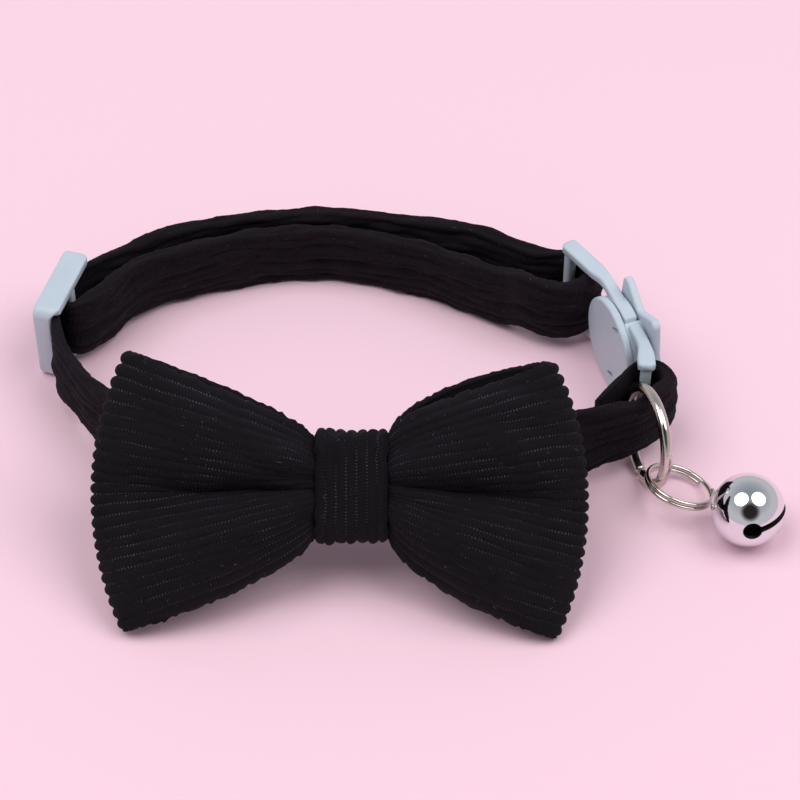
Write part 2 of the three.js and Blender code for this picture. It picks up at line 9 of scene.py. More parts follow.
import bpy
import numpy as np
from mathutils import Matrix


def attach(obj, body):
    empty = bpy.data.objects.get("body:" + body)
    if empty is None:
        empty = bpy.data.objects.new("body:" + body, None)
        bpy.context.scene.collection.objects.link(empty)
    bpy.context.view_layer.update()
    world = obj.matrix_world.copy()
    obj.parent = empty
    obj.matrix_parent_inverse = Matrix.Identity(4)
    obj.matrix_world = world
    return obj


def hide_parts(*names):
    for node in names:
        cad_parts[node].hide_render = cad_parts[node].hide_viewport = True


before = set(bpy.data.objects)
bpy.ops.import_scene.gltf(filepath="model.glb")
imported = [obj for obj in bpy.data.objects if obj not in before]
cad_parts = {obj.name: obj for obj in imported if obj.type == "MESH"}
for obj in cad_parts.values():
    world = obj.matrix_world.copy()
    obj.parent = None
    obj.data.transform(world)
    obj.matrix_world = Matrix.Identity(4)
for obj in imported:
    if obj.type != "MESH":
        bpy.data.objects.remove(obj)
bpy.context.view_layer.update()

MM = 0.001
LAYOUT = np.array([-0.23466, 8.45905, 0.02294])  # from the layout to the part's frame
DEGREE = math.pi / 180
UP = np.array([0.0, 0.0, 1.0])

# Sizes in mm, as the part has them. LOOP_RAIL_DEPTH, LOBE_FRONT, SPLIT_WIRE, SPLIT_PITCH and
# HOLE_RADIUS differ a little from the part's, to follow the photograph more closely.

LOOP_WIDTH, LOOP_DEPTH = 101.0, 64.0
STRAP_HEIGHT, STRAP_THICK = 12.0, 2.8
GAP = 0.3  # between pieces that touch on the real collar
INSET = 0.12  # of each bar's faces from the faces of the rails that it joins
SLIDER_LENGTH, SLIDER_RAIL, SLIDER_DEPTH, SLIDER_BAR = 15.5, 1.7, 4.4, 1.8
CENTRE_BAR_DEPTH = 1.2
SLIDER_CORNER, SLIDER_STRETCH, SLIDER_END_CUT = 1.9, 0.6, 1.3
PLATE_RADIUS, PLATE_THICK, CORE_THICK = 8.5, 1.4, 2.9
EAR_REACH, EAR_TIP, EAR_TURN, OUTER_SHIFT = 12.3, 1.3, 28 * DEGREE, 1.5
LOOP_RAIL, LOOP_RAIL_DEPTH, BUCKLE_BAR = 1.7, 2.9, 1.8
FAR_REACH, NEAR_REACH, BEND_AT = 17.6, 12.2, 8.1
FAR_BEND, NEAR_BEND, BUCKLE_TURN, SLIDER_TURN = 16.5, 20.0, -70.0, 73.0
BOW_LEFT, BOW_RIGHT, BOW_HEIGHT = 40.4, 36.6, 42.6
DROP_LEFT, DROP_RIGHT = 0.8, 1.9
BOW_WAIST, WAIST_DEPTH, BOW_WALL, END_DEPTH = 15.2, 4.6, 1.3, 3.8
BOW_PITCH, FOLD_BULGE, LOBE_FRONT, LOBE_BACK = 42 * DEGREE, 4.2, 5.6, 1.6
CORNER_REST = 1.2  # from the middle of a folded corner to the surface under it
BAND_WIDTH, BAND_WALL = 11.8, 1.3
RING_RADIUS, RING_WIRE, RING_CUT = 8.0, 1.9, 3.0
SPLIT_RADIUS, SPLIT_WIRE, SPLIT_PITCH, SPLIT_TURNS = 5.6, 0.74, 0.79, 1.9
BELL_RADIUS, BELL_WALL, SLIT_WIDTH, HOLE_RADIUS, SLIT_REACH = 6.0, 0.8, 1.1, 1.55, 66 * DEGREE
# The loop on the solid bell, which sets how far the bell hangs from the split ring. The piece
# bell_body doesn't draw this loop, which is a fault.
SHANK_RADIUS, SHANK_WIRE = 1.7, 0.7
FLOOR_TOUCH = 0.03  # lowest height of cloth that is pressed flat on the floor

# The strap's route: x, y, z, lean in degrees, thickness and height of the tube
STRAP_ROUTE = np.array([
    (32.2, -13.1, 8.7, 0, 1.2, 11.8),
    (34.2, -10.5, 8.8, 0, 1.4, 11.8),
    (36.5, -7.5, 8.8, 0, 1.4, 11.6),
    (38, -5.5, 8.7, 0, 1.5, 11.6),
    (39.2, -4.55, 8.7, 0, 1.6, 11.6),
    (40.74, -4.35, 8.7, 0, 1.6, 11.6),
    (42.44, -4.83, 8.7, 0, 1.96, 11.6),
    (43.84, -6.53, 8.7, 0, 2.56, 11.6),
    (43.94, -8.63, 8.7, 0, 2.8, 11.6),
    (39.14, -13.6, 9, 0, 2.8, 11.8),
    (35.1, -15.1, 9, 3, 2.8, 12.4),
    (30.4, -16.54, 8.6, 12, 2.8, 12.2),
    (21.71, -20.48, 9.31, 22, 2.8, 12),
    (10.61, -25.6, 11.39, 38, 2.8, 12),
    (-0.26, -30.72, 13.22, 48, 2.8, 12),
    (-7.57, -30.72, 13.22, 48, 2.8, 12),
    (-14.89, -30.72, 13.22, 48, 2.8, 12),
    (-25.75, -26.24, 11.39, 38, 2.8, 12),
    (-38.88, -19.84, 9.31, 22, 2.8, 12),
    (-48.98, -10.88, 8.26, 8, 2.8, 12),
    (-53.53, -5.12, 8, 3, 2.8, 12),
    (-56.36, -0.32, 8, 0, 2.8, 12),
    (-57.56, 5.34, 8, 0, 1.6, 12),
    (-58.7, 12.85, 8, 0, 1.6, 12),
    (-53.55, 18.44, 8, 0, 1.6, 12),
    (-47.98, 23.04, 7.43, 0, 2.8, 12),
    (-37.88, 28.8, 6.86, 0, 2.8, 12),
    (-25.25, 32.48, 6.29, 0, 2.8, 12),
    (-11.61, 33.28, 6.1, 0, 2.8, 12),
    (2.53, 31.52, 6.1, 0, 2.8, 12),
    (13.13, 28.96, 6.48, 0, 2.8, 12),
    (22.9, 23.5, 6.9, 0, 2.5, 11),
    (29.1, 22.75, 7.6, 0, 1.8, 10),
    (31.3, 21.2, 8.1, 0, 1.9, 10.6),
    (32.81, 19.21, 8.7, 0, 2.32, 12),
    (32.95, 16.36, 8.7, 0, 2.56, 12),
    (30.89, 13.94, 8.7, 0, 2.68, 12),
    (27.6, 12.93, 8.7, 0, 2.8, 12),
    (23.99, 13.58, 8.7, 0, 2.8, 12),
    (20.91, 15.33, 8.7, 0, 2.8, 12),
    (18.69, 17.12, 7.24, 0, 2.8, 12),
    (10.61, 21.44, 6.67, 0, 2.8, 12),
    (1.01, 26.08, 6.2, 0, 2.8, 12),
    (-12.62, 29.12, 6.1, 0, 2.8, 12),
    (-24.75, 28, 6.29, 0, 2.8, 12),
    (-35.86, 24.64, 6.86, 0, 2.8, 12),
    (-45.95, 19.2, 7.43, 0, 2.8, 12),
    (-50.4, 13.3, 7.8, 0, 2.8, 12),
    (-53.1, 10.3, 8, 0, 2.6, 11.8),
    (-54.9, 9.2, 8, 0, 2, 11.6),
    (-56.3, 9.6, 8, 0, 1.5, 11.6),
    (-57.05, 10.7, 8, 0, 1.2, 11.6),
    (-57.1, 11.9, 8, 0, 1.2, 11.6),
    (-56.85, 13, 8, 0, 1.2, 11.6),
    (-56.7, 13.56, 8, 0, 1.2, 11.6),
])


def plan(x_share, y_share):
    """A place in plan, as shares of half the loop's width and depth from the loop's middle."""
    return np.array([LOOP_WIDTH * (x_share / 2 - 0.075), y_share * LOOP_DEPTH / 2])


# Meshes


def grid_part(grid, uv=None, loop_u=False, loop_v=False, caps=False):
    """Faces over a grid of points: grid[i, j] is joined to its neighbours, and a looped side's
    last row to its first. uv has one more row or column where the grid loops. Caps close the
    first and last rows. The faces are turned over if they enclose a negative volume."""
    n, m = grid.shape[:2]
    i = np.arange(n if loop_u else n - 1)[:, None]
    j = np.arange(m if loop_v else m - 1)[None, :]
    corners = [(i, j), (i + 1, j), (i + 1, j + 1), (i, j + 1)]
    quads = np.stack([(a % n) * m + b % m for a, b in corners], -1).reshape(-1, 4)
    if uv is None:
        uv = np.zeros((n + 1, m + 1, 2))
    places = np.stack([uv[a, b] for a, b in corners], -2).reshape(-1, 4, 2)
    points = grid.reshape(-1, 3)
    a, b, c, d = (points[quads[:, k]] - points.mean(0) for k in range(4))
    volume = (a * np.cross(b, c)).sum() + (a * np.cross(c, d)).sum()
    ends = [np.arange(m), (n - 1) * m + np.arange(m)[::-1]] if caps else []
    if volume < 0:
        quads, places, ends = quads[:, ::-1], places[:, ::-1], [end[::-1] for end in ends]
    return points, quads, places, ends


def mesh_object(name, parts):
    """One object from several parts, smooth, with the parts' places on the cloth as its UV map."""
    points, faces, places, start = [], [], [], 0
    for part_points, quads, part_places, ends in parts:
        faces += (quads + start).tolist() + [(end + start).tolist() for end in ends]
        places += [part_places.reshape(-1, 2)] + [np.zeros((len(end), 2)) for end in ends]
        points.append(part_points)
        start += len(part_points)
    mesh = bpy.data.meshes.new(name)
    mesh.from_pydata(((np.concatenate(points) + LAYOUT) * MM).tolist(), [], faces)
    layer = mesh.uv_layers.new(name="UVMap")
    layer.data.foreach_set("uv", np.concatenate(places).astype(np.float32).ravel())
    mesh.polygons.foreach_set("use_smooth", np.ones(len(faces), bool))
    made = bpy.data.objects.new(name, mesh)
    bpy.context.scene.collection.objects.link(made)
    return made


def normals(grid, loop_u, loop_v):
    """Unit normals of a grid: the cross product of the differences along its two sides."""
    def slope(axis, loop):
        if loop:
            return np.roll(grid, -1, axis) - np.roll(grid, 1, axis)
        return np.gradient(grid, axis=axis)
    across = np.cross(slope(0, loop_u), slope(1, loop_v))
    return across / np.maximum(np.linalg.norm(across, axis=-1, keepdims=True), 1e-9)


def unit(vector):
    return np.asarray(vector, float) / np.linalg.norm(vector)


def turned(points, rotation, place):
    """Points carried by a rotation, whose columns are the new axes, and then moved to a place."""
    return points @ np.asarray(rotation).T + place


def about_z(degrees):
    c, s = math.cos(degrees * DEGREE), math.sin(degrees * DEGREE)
    return np.array([[c, -s, 0], [s, c, 0], [0, 0, 1]])


def facing(normal):
    """The shortest rotation that takes +Z to a normal."""
    normal = unit(normal)
    axis, c = np.cross(UP, normal), float(UP @ normal)
    k = np.array([[0, -axis[2], axis[1]], [axis[2], 0, -axis[0]], [-axis[1], axis[0], 0]])
    return np.eye(3) + k + k @ k / (1 + c)


def waves(u, v, seed, count, length_u, length_v):
    """Soft unevenness: a sum of sine waves with random phases and directions, near these
    lengths in mm. The values lie mostly between -1.4 and 1.4."""
    rng = np.random.default_rng(seed)
    total = 0
    for _ in range(count):
        ku, kv = rng.normal(0, 1, 2) * 2 * np.pi / np.array([length_u, length_v])
        total = total + np.sin(ku * u + kv * v + rng.uniform(0, 2 * np.pi))
    return total / math.sqrt(count)


def rib(count):
    """Section of corduroy: full, rounded wales with a narrow groove at every whole number."""
    return np.abs(np.sin(np.pi * count)) ** 0.55


def smooth_step(x, low, high):
    t = np.clip((x - low) / (high - low), 0, 1)
    return t * t * (3 - 2 * t)


# Strap

STRAP_STEP = 0.8  # along the route
STRAP_ROUND = 104  # points round the tube
STRAP_WALES = 15
STRAP_RELIEF, STRAP_SINK = 0.42, 0.25  # height of the wales, and how far their feet lie inside
PRESSED_THICK = 1.1  # tube that is pressed fully flat, where puckers and wales nearly vanish
# Puckers: depth, seed, number of waves, and their lengths in mm along and round the tube
PUCKERS = ((0.2, 11, 9, 15, 10), (0.18, 12, 6, 30, 9), (0.1, 13, 8, 4, 5))


def strap_line():
    """The route as a centripetal Catmull-Rom curve through its rows, with the lean, thickness
    and height blended evenly from row to row."""
    places, rest = STRAP_ROUTE[:, :3], STRAP_ROUTE[:, 3:]
    ahead = np.vstack([2 * places[0] - places[1], places, 2 * places[-1] - places[-2]])
    line, facts = [], []
    for i in range(len(places) - 1):
        p0, p1, p2, p3 = ahead[i:i + 4]
        t0, t1, t2 = (math.sqrt(np.linalg.norm(b - a)) for a, b in ((p0, p1), (p1, p2), (p2, p3)))
        leave = ((p1 - p0) / t0 - (p2 - p0) / (t0 + t1) + (p2 - p1) / t1) * t1
        arrive = ((p2 - p1) / t1 - (p3 - p1) / (t1 + t2) + (p3 - p2) / t2) * t1
        steps = max(2, round(np.linalg.norm(p2 - p1) / STRAP_STEP))
        t = (np.arange(steps + (i == len(places) - 2)) / steps)[:, None]
        line.append(p1 + leave * t + (3 * (p2 - p1) - 2 * leave - arrive) * t ** 2
                    + (2 * (p1 - p2) + leave + arrive) * t ** 3)
        facts.append(rest[i] + (rest[i + 1] - rest[i]) * t)
    return np.vstack(line), np.vstack(facts)


def strap_profile():
    """Points at even distances round a rounded oblong, |cos|^0.72 high and |sin|^0.5 wide, and
    how far round each one is."""
    angle = np.linspace(0, 2 * np.pi, 2001)
    high = np.sign(np.cos(angle)) * np.abs(np.cos(angle)) ** 0.72
    wide = np.sign(np.sin(angle)) * np.abs(np.sin(angle)) ** 0.5
    edge = np.hypot(np.diff(high) * STRAP_HEIGHT, np.diff(wide) * STRAP_THICK)
    far = np.concatenate([[0], np.cumsum(edge)])
    even = np.arange(STRAP_ROUND) / STRAP_ROUND * far[-1]
    return np.interp(even, far, high), np.interp(even, far, wide), even


def strap_part():
    """The oval carried along the route, leaning where the strap leans. Wales run along it, and
    soft puckers stand out where the tube is full."""
    line, facts = strap_line()
    lean, thick, height = (facts[:, k, None, None] for k in range(3))
    tangent = np.gradient(line, axis=0) * [1, 1, 0]
    tangent = (tangent / np.linalg.norm(tangent, axis=1, keepdims=True))[:, None]
    right = np.cross(tangent, UP)
    high = UP * np.cos(lean * DEGREE) + right * np.sin(lean * DEGREE)
    wide = np.cross(tangent, high)
    tall, broad, even = strap_profile()
    grid = (line[:, None] + high * tall[None, :, None] * height / 2
            + wide * broad[None, :, None] * thick / 2)
    steps = np.linalg.norm(np.diff(line, axis=0), axis=1)
    along = np.concatenate([[0], np.cumsum(steps)])[:, None]
    round_ = even[None, :]
    full = np.clip((thick[:, :, 0] - PRESSED_THICK) / (STRAP_THICK - PRESSED_THICK), 0, 1)
    perimeter = even[1] * STRAP_ROUND
    drift = 0.35 * waves(along, round_, 5, 6, 30, 200)
    count = round_ / perimeter * STRAP_WALES
    puckers = sum(deep * waves(along, round_, *rest) for deep, *rest in PUCKERS)
    relief = (STRAP_RELIEF * rib(count + drift) - STRAP_SINK) + puckers
    outward = normals(grid, False, True)
    if (outward * (grid - line[:, None])).sum() < 0:
        outward = -outward
    grid = grid + outward * (relief * (0.25 + 0.75 * full))[..., None]
    grid[..., 2] = np.maximum(grid[..., 2], FLOOR_TOUCH)
    wale = np.append(even, perimeter) / perimeter * STRAP_WALES
    u, v = np.meshgrid(along[:, 0], wale, indexing="ij")
    return grid_part(grid, np.stack([u, v], -1), loop_v=True, caps=True)


# Bow

BOW_COLUMNS = 64
BOW_WALES = 24
ROWS_PER_WALE = 7
KNOT_HALF = BOW_WAIST / 2 - 0.8  # the band draws the cloth in
KNOT_LIFT = 0.45  # of the band, and of the cloth inside it, above the middle of the bow
GROW_RIGHT, GROW_LEFT, GROW_TOP = 0.51, 0.6, 0.1  # powers by which each side widens to the fold
LOBE_SKEW, LOBE_POWER = 0.8, 0.85
VALLEY_WIDE, VALLEY_OPENS, VALLEY_POWER = 0.16, 0.26, 1.7
DIP_DEPTH, DIP_WIDE = 1.0, 0.13  # of the crease along the valley's middle
PLEAT_DEPTH, PLEAT_AT, PLEAT_WIDE = 0.75, 0.16, 0.17
RIPPLE_DEPTH = 0.3
FOLD_CUT, CORNER_CUT = 0.35, 0.5  # how far the folds and their corners stay inside the reach
CORNER_RISE_RIGHT, CORNER_RISE_LEFT = 0.4, 0.9
SAG_FRONT, RISE_BACK, SAG_LEFT = -1.3, 0.7, 0.4  # along the upper edge; the left has a share of it
WALE_TALL, WALE_TALL_AT_FOLD = 0.4, 0.34
KNOT_HIGH = ((BOW_HEIGHT / 2 + DROP_RIGHT) * math.sin(BOW_PITCH)
             + CORNER_REST * math.cos(BOW_PITCH))
KNOT = np.array([*plan(0, -1.05), KNOT_HIGH])
BOW_UP = np.array([0, math.cos(BOW_PITCH), math.sin(BOW_PITCH)])
BOW_FRONT = np.array([0, -math.sin(BOW_PITCH), math.cos(BOW_PITCH)])
BOW_AXES = np.stack([[1, 0, 0], BOW_FRONT, BOW_UP], 1)


def bow_columns():
    """Layer (front 1, back -1), side and share of the way to the fold of each column round the
    cloth loop, closer together near the folds and the band."""
    share = (1 - np.cos(np.pi * np.arange(BOW_COLUMNS + 1) / BOW_COLUMNS)) / 2
    rows = []
    for layer in (1, -1):
        keep = slice(0, BOW_COLUMNS + 1) if layer > 0 else slice(0, BOW_COLUMNS)
        rows += [(layer, layer, s) for s in share[::-1][1 if layer < 0 else 0:]]
        rows += [(layer, -layer, s) for s in share[keep]]
    return np.array(rows).T


def bow_middle(layer, side, share, high):
    """Middle of the cloth at a share of the way to the fold and a height from -1 to 1: two
    swollen lobes, sin(pi share^0.8)^0.85, part at a valley, 1 - exp(-|high / wide|^1.7), which
    opens towards the fold. Pleats spread out from the band."""
    right = side > 0
    front = layer > 0
    grown = share ** np.where(right, GROW_RIGHT, GROW_LEFT + GROW_TOP * smooth_step(high, 0, 0.5))
    half_high = KNOT_HALF + (BOW_HEIGHT / 2 - KNOT_HALF) * grown
    waist = WAIST_DEPTH + (2 * BOW_WALL + 0.4 - WAIST_DEPTH) * high ** 4
    flat = (waist + (END_DEPTH - waist) * smooth_step(share, 0, 0.5)) / 2
    lobes = np.abs(np.sin(np.pi * share ** LOBE_SKEW)) ** LOBE_POWER
    valley = 1 - np.exp(-np.abs(high / (VALLEY_WIDE + VALLEY_OPENS * share)) ** VALLEY_POWER)
    dip = DIP_DEPTH * np.exp(-((high / DIP_WIDE) ** 2)) * lobes * front
    swell = np.where(front, LOBE_FRONT, LOBE_BACK) * lobes * valley * (1 - high ** 6) - dip
    near_band = PLEAT_DEPTH * np.exp(-((share - PLEAT_AT) / PLEAT_WIDE) ** 2)
    pleat = near_band * np.cos(2 * np.pi * (1.9 * high + 0.12 * side))
    ripple = RIPPLE_DEPTH * waves(share * 40 * side + 9 * layer, high * 20, 21, 7, 24, 13)
    ripple = ripple * smooth_step(share, 0.05, 0.3)
    reach = np.where(right, BOW_RIGHT, BOW_LEFT) - FOLD_CUT - FOLD_BULGE * high ** 2
    reach = reach - (CORNER_CUT + CORNER_CUT * (high > 0)) * np.abs(high) ** 3
    # both layers close on each other at the fold
    closed = np.sqrt(np.maximum(1 - share ** 24, 0))
    u = side * (BAND_WIDTH / 2 + (reach - BAND_WIDTH / 2) * share)
    n = layer * (flat - BOW_WALL / 2 + swell + (pleat + ripple) * front) * closed
    # near the band the middle wales are drawn together into the valley
    spread = np.sign(high) * np.abs(high) ** (1 + 0.6 * (1 - share) ** 1.5 * front)
    v = spread * half_high - np.where(right, DROP_RIGHT, DROP_LEFT) * share
    rise = np.where(right, CORNER_RISE_RIGHT, CORNER_RISE_LEFT)
    v = v + rise * share ** 2 * smooth_step(high, 0.4, 1)
    # along the upper edge the back layer stands above the front one, which sags, more on the right
    sag = np.where(front, SAG_FRONT, RISE_BACK) * np.where(right, 1, SAG_LEFT)
    v = v + sag * np.abs(np.sin(np.pi * share)) ** 0.8 * smooth_step(high, 0.6, 1)
    v = v + KNOT_LIFT * (1 - share) ** 2
    return np.stack([u, n, v], -1)


def bow_part():
    """Both faces of the cloth, half a wall each side of its middle, joined along the two raw
    edges. Outside stand the wales, fuller round the folds."""
    layer, side, share = (x[:, None] for x in bow_columns())
    rows = BOW_WALES * ROWS_PER_WALE
    high = np.linspace(-1, 1, rows + 1)[None, :]
    middle = bow_middle(layer, side, share, high)
    outward = normals(middle, True, False)
    if (outward[..., 1] * layer).sum() < 0:
        outward = -outward
    count = (high + 1) / 2 * BOW_WALES + 0.1 * waves(share * 35, high * 20, 3, 5, 18, 30)
    tall = WALE_TALL + WALE_TALL_AT_FOLD * smooth_step(share, 0.9, 1)
    relief = tall * (rib(count) - 0.45) * (0.45 + 0.55 * smooth_step(share, 0, 0.35))
    frayed = 0.18 * waves(share * 60 * side + 30 * layer, high, 8, 8, 3, 9) * np.abs(high) ** 40
    outer = middle + outward * (BOW_WALL / 2 + relief)[..., None] + [0, 0, 1] * frayed[..., None]
    inner = middle - outward * (BOW_WALL / 2 - 0.12 * rib(count))[..., None]
    rim = [0, 0, 0.35]
    low = (outer[:, :1] + inner[:, :1]) / 2 - rim
    top = (outer[:, -1:] + inner[:, -1:]) / 2 + rim
    grid = np.concatenate([outer, top, inner[:, ::-1], low], 1)
    steps = np.linalg.norm(np.diff(middle[:, rows // 4], axis=0), axis=1)
    along = np.concatenate([[0], np.cumsum(steps), [0]])
    along[-1] = along[-2] + np.linalg.norm(middle[0, rows // 4] - middle[-1, rows // 4])
    # no stitches on the raw edges or on the cloth's plain reverse, where wale stays between grooves
    front = np.clip(count[0], 0.3, BOW_WALES - 0.3)
    reverse = 0.5 + (front[::-1] / BOW_WALES - 0.5) * 0.4
    wale = np.concatenate([front, [BOW_WALES - 0.4], reverse, [0.4, 0.4]])
    u, v = np.meshgrid(along, wale, indexing="ij")
    grid = turned(grid, BOW_AXES, KNOT)
    grid[..., 2] = np.maximum(grid[..., 2], FLOOR_TOUCH)
    return grid_part(grid, np.stack([u, v], -1), loop_u=True, loop_v=True)


KNOT_STEPS = 220
KNOT_WALES = 7
KNOT_ROWS = 9  # points across each wale
KNOT_POWER = 0.55
HEM_ROWS = 12


def band_part():
    """Wall carried round an oblong, |cos|^0.55 high and |sin|^0.55 deep, with wales that run
    round it and stand out beyond its upper and lower edges. It is drawn in a little in front."""
    angle = 2 * np.pi * np.arange(KNOT_STEPS)[:, None] / KNOT_STEPS
    c, s = np.cos(angle), np.sin(angle)
    high = np.sign(c) * np.abs(c) ** KNOT_POWER * (KNOT_HALF + 2 * GAP)
    front, back = WAIST_DEPTH / 2 + GAP, WAIST_DEPTH / 2 + STRAP_THICK + 3 * GAP
    deep = np.sign(s) * np.abs(s) ** KNOT_POWER * np.where(s > 0, front, back)
    away = np.stack([np.sign(s) * np.abs(s) ** 1.4, np.sign(c) * np.abs(c) ** 1.4], -1)
    away = away / np.linalg.norm(away, axis=-1, keepdims=True)
    across = np.linspace(-1, 1, KNOT_WALES * KNOT_ROWS + 1)[None, :]
    count = (across + 1) / 2 * KNOT_WALES
    edge = np.maximum(1 - np.abs(across) ** 14, 0) ** 0.5
    width = (BAND_WIDTH / 2 * (1 - 0.05 * np.abs(s) ** 2)
             + 0.12 * waves(angle * 8, 0 * angle, 31, 5, 4, 9))
    relief = (0.42 * (rib(count) - 0.4) * edge
              + 0.25 * waves(angle * 8, across * 6, 17, 6, 9, 7) * edge)
    thick = BAND_WALL * (0.15 + 0.85 * edge) + relief
    high = high + KNOT_LIFT
    outer = np.stack([width * across + 0 * angle, deep + away[..., 0] * thick,
                      high + away[..., 1] * thick], -1)
    hem = np.linspace(1, -1, HEM_ROWS)[None, :]
    inner = np.stack([width * hem * 0.985, deep + 0 * hem, high + 0 * hem], -1)
    grid = np.concatenate([outer, inner], 1)
    middle = outer[:, KNOT_WALES * KNOT_ROWS // 2]
    girth = np.concatenate([[0], np.cumsum(np.linalg.norm(np.diff(middle, axis=0), axis=1))])
    wale = np.concatenate([count[0], np.linspace(KNOT_WALES, 0, HEM_ROWS), [0]])
    u, v = np.meshgrid(np.append(girth, girth[-1] + 0.3), wale, indexing="ij")
    return grid_part(turned(grid, BOW_AXES, KNOT), np.stack([u, v], -1), loop_u=True, loop_v=True)


# Moulded plastic

EDGE_STEPS = 4  # points on the quarter circle of a softened rim


def arc(radius, low, high, steps, centre=(0, 0)):
    """Points on a circle between two angles in degrees."""
    angle = np.linspace(low, high, steps) * DEGREE
    return np.stack([np.cos(angle), np.sin(angle)], -1) * radius + centre


def softened(outline, thick, edge):
    """Plate over a closed outline, from 0 to its thickness along the third axis. Its rim turns
    over in a quarter circle at both faces: inset = edge (1 - cos), depth = edge (1 - sin)."""
    outline = np.asarray(outline, float)
    following = np.roll(outline, -1, 0)
    if (outline[:, 0] * following[:, 1] - following[:, 0] * outline[:, 1]).sum() < 0:
        outline = outline[::-1]
    ahead = np.roll(outline, -1, 0) - outline
    ahead = ahead / np.linalg.norm(ahead, axis=1, keepdims=True)
    before = np.roll(ahead, 1, 0)
    inward = np.stack([-(ahead + before)[:, 1], (ahead + before)[:, 0]], -1)
    inward = inward / np.maximum((inward ** 2).sum(1, keepdims=True) / 2, 0.2)
    turn = np.linspace(np.pi / 2, 0, EDGE_STEPS + 1)
    inset = np.concatenate([[edge * 1.6], edge * (1 - np.cos(turn))])
    deep = np.concatenate([[0], edge * (1 - np.sin(turn))])
    inset, deep = np.concatenate([inset, inset[::-1]]), np.concatenate([deep, thick - deep[::-1]])
    flat = outline[None] + inward[None] * inset[:, None, None]
    return np.concatenate([flat, np.broadcast_to(deep[:, None, None], (*flat.shape[:2], 1))], -1)


def bar_outline(width, depth, radius):
    """Rectangle with rounded corners."""
    w, d = width / 2 - radius, depth / 2 - radius
    return np.concatenate([arc(radius, 90 * k, 90 * k + 90, 5, centre) for k, centre in
                           enumerate([(w, d), (-w, d), (-w, -d), (w, -d)])])


def upright(grid, out0, shift=0.0):
    """A plate drawn in (along, up), stood across the buckle with its thickness outwards."""
    return np.stack([grid[..., 0] + shift, grid[..., 2] + out0, grid[..., 1]], -1)


def placed(grid, origin, turn, high):
    """A grid in (along, out, up) turned to the loop's direction there and moved to its place."""
    return turned(grid, about_z(turn), [origin[0], origin[1], high])


BUCKLE_AT = plan(0.894, 0.165)
BUCKLE_MID = PLATE_RADIUS + 0.2
SLIDER_AT = plan(-0.982, 0.387)
TONGUE_ROOT, SOCKET_ROOT = 1.2, 3.6  # where the rails of each half start, from the middle
RAIL_CORNER = 0.42
# Slots in the socket's plate: places along and up as shares of its radius, turn in degrees
SLOTS = ((0.3, 0.76, 30), (0.22, -0.57, 30))
SLOT_LENGTH, SLOT_WIDTH = 2.4, 0.85
SLOT_TOOL, SLOT_OUT = 3, 0.4  # thickness of the tool, and how much of it stands outside the plate
FRAME_POWER = 0.3  # of the rounded section of the slider's frame


def bar_loop(bend, reach, side):
    """Two rails and a bar, bent towards the neck: a rounded rectangle carried along a line that
    turns by bend * smooth_step(distance)."""
    high = (STRAP_HEIGHT + LOOP_RAIL) / 2 + GAP
    far = BEND_AT + reach
    root = TONGUE_ROOT if side < 0 else SOCKET_ROOT
    gone = np.linspace(root, far + BUCKLE_BAR / 2 + 0.1, 40)
    angle = bend * DEGREE * smooth_step(gone, BEND_AT - 2.5, BEND_AT + 3)
    step = np.stack([np.cos(angle), np.sin(angle)], -1) * side
    middle = np.cumsum(step * (gone[1] - gone[0]), 0)
    middle = middle - middle[0] + [side * gone[0], 0]
    grown = smooth_step(gone, BEND_AT - 0.5, BEND_AT + 3)
    half = (CORE_THICK / 2 - GAP - INSET) * (1 - grown) + LOOP_RAIL_DEPTH / 2 * grown
    half = half - 0.45 * smooth_step(gone, gone[-1] - 0.5, gone[-1])
    across = np.stack([-step[:, 1], step[:, 0]], -1) * half[:, None]
    section = bar_outline(2, LOOP_RAIL, RAIL_CORNER)
    flat = middle[:, None] + across[:, None] * section[None, :, :1]
    shrink = 1 - 0.2 * smooth_step(gone, gone[-1] - 0.4, gone[-1])
    lift = section[None, :, 1:] * shrink[:, None, None]
    rails = [np.concatenate([flat, lift + end * high], -1) for end in (-1, 1)]
    bar_at = [np.interp(far, gone, middle[:, k]) for k in (0, 1)]
    bar = softened(bar_outline(BUCKLE_BAR, BUCKLE_BAR, 0.6), 2 * high, 0.2)
    bar = turned(bar, about_z(bend), [*bar_at, -high])
    return [*rails, bar]


def buckle_part(grids):
    return [grid_part(placed(grid, BUCKLE_AT, BUCKLE_TURN, BUCKLE_MID), loop_v=True, caps=True)
            for grid in grids]


def eared_outline():
    """Disc with two ears, each a triangle rounded at its tip; they meet at the disc's top."""
    foot = (EAR_TURN + 0.5) / DEGREE
    rows = [arc(PLATE_RADIUS, 90 + foot, 450 - foot, 60)]
    for side in (-1, 1):
        angle = 90 + side * EAR_TURN / DEGREE
        tip = arc(EAR_REACH - EAR_TIP, angle, angle, 1)[0]
        rows.append(arc(EAR_TIP, angle - 63, angle + 63, 12, tip))
        if side < 0:
            foot_high = PLATE_RADIUS + 0.1
            rows.append(np.array([[0.55, foot_high], [0, PLATE_RADIUS - 0.1], [-0.55, foot_high]]))
    return np.concatenate(rows)


def socket_parts():
    return buckle_part([
        upright(softened(eared_outline(), PLATE_THICK, 0.4), CORE_THICK / 2, OUTER_SHIFT),
        *bar_loop(-NEAR_BEND, NEAR_REACH - BEND_AT, 1),
    ])


